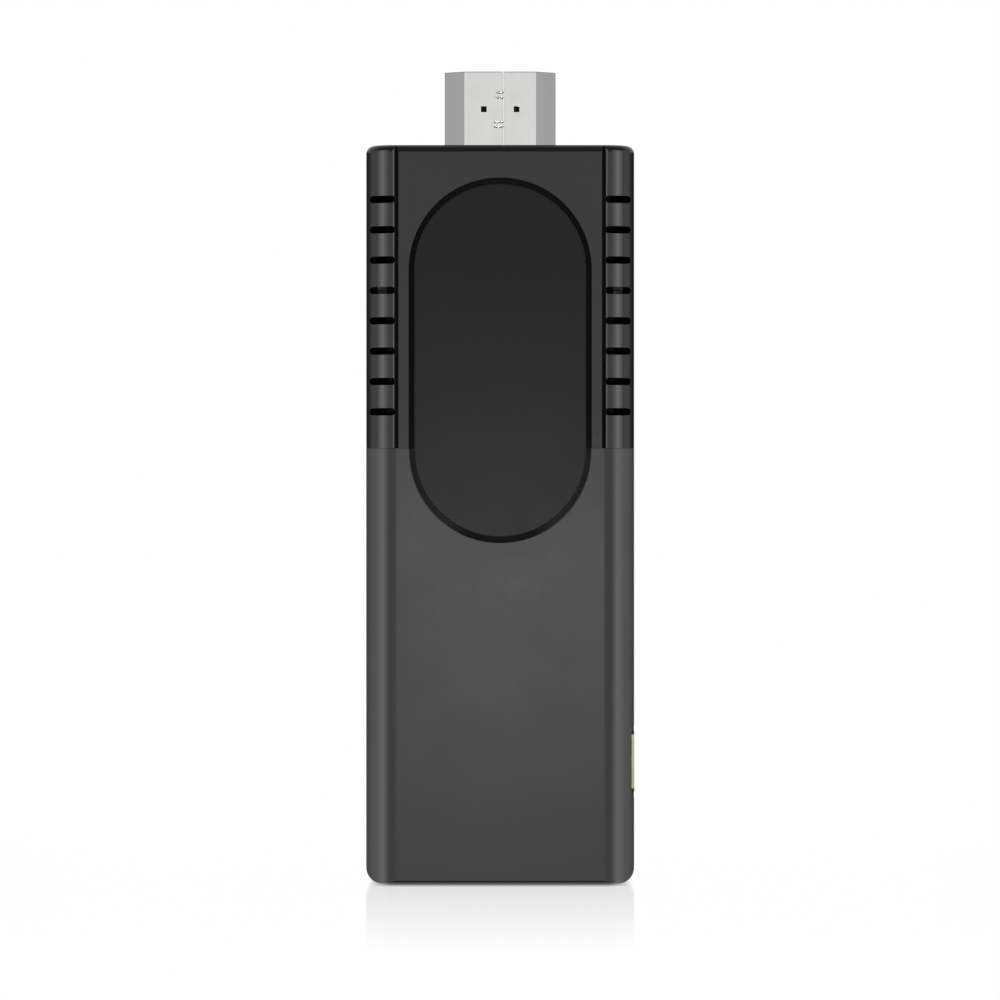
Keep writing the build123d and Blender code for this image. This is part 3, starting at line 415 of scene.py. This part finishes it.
# The contact shadow is darkest within the half width and half depth, and gone at the reach beyond them.
# It reaches less far sideways, by the squeeze.
CONTACT_INSET = 3.55 * MM
CONTACT_HALF_WIDTH = cad_high.x - CONTACT_INSET
CONTACT_HALF_DEPTH = cad_high.y
CONTACT_SQUEEZE = 2.5
CONTACT_REACH = 0.009
CONTACT_SHADE = 0.1

LAMP_DISTANCE = 0.28
LAMP_SIZE = 0.015
LAMP_HEIGHT = 0.036
LAMP_POWER = 0.055


def make_world():
    """Lights the object by the ring, and shows plain white to the camera."""
    world = bpy.data.worlds.new("studio")
    world.use_nodes = True
    bpy.context.scene.world = world
    graph = Graph(world.node_tree)
    direction = graph.node("SeparateXYZ", {0: graph.node("TexCoord").outputs["Generated"]}).outputs
    across = graph.math("ABSOLUTE", direction["X"])
    forward = graph.math("MULTIPLY", direction["Y"], -1.0)
    turn = graph.math("DIVIDE", graph.math("ARCTAN2", across, forward), math.pi)
    ramp = graph.node("ValToRGB", {"Fac": turn})
    stops = ramp.color_ramp.elements
    while len(stops) < len(RING):
        stops.new(0.5)
    for stop, (angle, radiance) in zip(stops, RING.items()):
        stop.position = angle / 180
        stop.color = grey(radiance / RING_BRIGHTEST)
    ring = graph.math("MULTIPLY", ramp.outputs["Color"], RING_BRIGHTEST)
    above_front = graph.rescale(direction["Z"], *FRONT_HEIGHT, smooth=True)
    above_side = graph.rescale(direction["Z"], *SIDE_HEIGHT, smooth=True)
    sideways = graph.rescale(turn, *FRONT_REACH, smooth=True)
    above = graph.blend(sideways, above_front, above_side)
    below = graph.rescale(graph.math("MULTIPLY", direction["Z"], -1.0), *SIDE_HEIGHT, smooth=True)
    radiance = graph.blend(below, graph.blend(above, ring, grey(OVERHEAD)), grey(UNDERNEATH))
    off_level = graph.rescale(graph.math("ABSOLUTE", direction["Z"]), *REAR_HEIGHT, smooth=True)
    behind = graph.rescale(turn, *REAR_REACH, smooth=True)
    radiance = graph.blend(graph.math("MULTIPLY", off_level, behind), radiance, grey(REAR_LIGHT))
    seen = graph.node("LightPath").outputs["Is Camera Ray"]
    colour = graph.blend(seen, radiance, grey(BACKGROUND))
    graph.feed(world.node_tree.nodes["Background"].inputs["Color"], colour)


def make_floor():
    """A white disc with a faint mirror image that fades away from the object. Only the camera sees it."""
    ring = [2 * math.pi * side / FLOOR_SIDES for side in range(FLOOR_SIDES)]
    points = [(FLOOR_RADIUS * math.cos(turn), FLOOR_RADIUS * math.sin(turn), cad_low.z) for turn in ring]
    mesh = bpy.data.meshes.new("floor")
    mesh.from_pydata(points, [], [range(FLOOR_SIDES)])
    floor = bpy.data.objects.new("floor", mesh)
    bpy.context.scene.collection.objects.link(floor)
    floor.visible_glossy = False
    floor.visible_diffuse = False
    floor.visible_shadow = False
    material = bpy.data.materials.new("floor_white")
    material.use_nodes = True
    graph = Graph(material.node_tree)
    place = graph.node("TexCoord").outputs["Object"]
    distance = graph.node("VectorMath", {0: place}, operation="LENGTH").outputs["Value"]
    mirrored = graph.rescale(distance, 0.0, FLOOR_REFLECTION_REACH, FLOOR_REFLECTION, 0.0)
    axes = graph.node("SeparateXYZ", {0: place}).outputs
    sideways = graph.math("SUBTRACT", graph.math("ABSOLUTE", axes["X"]), CONTACT_HALF_WIDTH)
    sideways = graph.math("MULTIPLY", graph.math("MAXIMUM", sideways, 0.0), CONTACT_SQUEEZE)
    outwards = graph.math("SUBTRACT", graph.math("ABSOLUTE", axes["Y"]), CONTACT_HALF_DEPTH)
    gap = graph.node("CombineXYZ", {0: sideways, 1: graph.math("MAXIMUM", outwards, 0.0)}).outputs[0]
    gap = graph.node("VectorMath", {0: gap}, operation="LENGTH").outputs["Value"]
    light = graph.rescale(gap, 0.0, CONTACT_REACH, CONTACT_SHADE, 1.0, smooth=True)
    glow = graph.node("Emission", {"Color": light}).outputs[0]
    gloss = graph.node("BsdfAnisotropic", {"Color": light, "Roughness": FLOOR_ROUGHNESS}).outputs[0]
    surface = graph.node("MixShader", {0: mirrored, 1: glow, 2: gloss}).outputs[0]
    graph.feed(material.node_tree.nodes["Material Output"].inputs["Surface"], surface)
    mesh.materials.append(material)


def make_lamp():
    """A small soft lamp between the camera and the object, low down, that the camera doesn't see."""
    light = bpy.data.lights.new("front_lamp", "AREA")
    light.shape = "DISK"
    light.size = LAMP_SIZE
    light.energy = LAMP_POWER
    lamp_object = bpy.data.objects.new("front_lamp", light)
    lamp_object.location = (0, cad_low.y - LAMP_DISTANCE, LAMP_HEIGHT)
    lamp_object.rotation_euler = (math.pi / 2, 0, 0)
    lamp_object.visible_camera = False
    bpy.context.scene.collection.objects.link(lamp_object)


# ---------------------------------------------------------------- the camera
LENS = 250.0
SENSOR = 36.0
MARGIN_ABOVE = 0.0087
MARGIN_BELOW = 0.0145   # room for the mirror image


def make_camera():
    """Looks level at the front through a long lens."""
    camera = bpy.data.cameras.new("camera")
    camera.lens = LENS
    camera.sensor_width = SENSOR
    top = cad_high.z + MARGIN_ABOVE
    bottom = cad_low.z - MARGIN_BELOW
    distance = (top - bottom) * LENS / SENSOR
    camera_object = bpy.data.objects.new("camera", camera)
    camera_object.location = ((cad_low.x + cad_high.x) / 2, cad_low.y - distance, (top + bottom) / 2)
    camera_object.rotation_euler = (math.pi / 2, 0, 0)
    bpy.context.scene.collection.objects.link(camera_object)
    bpy.context.scene.camera = camera_object
    bpy.context.scene.view_settings.view_transform = "Standard"


make_camera()
make_world()
make_floor()
make_lamp()
dress_nodes()
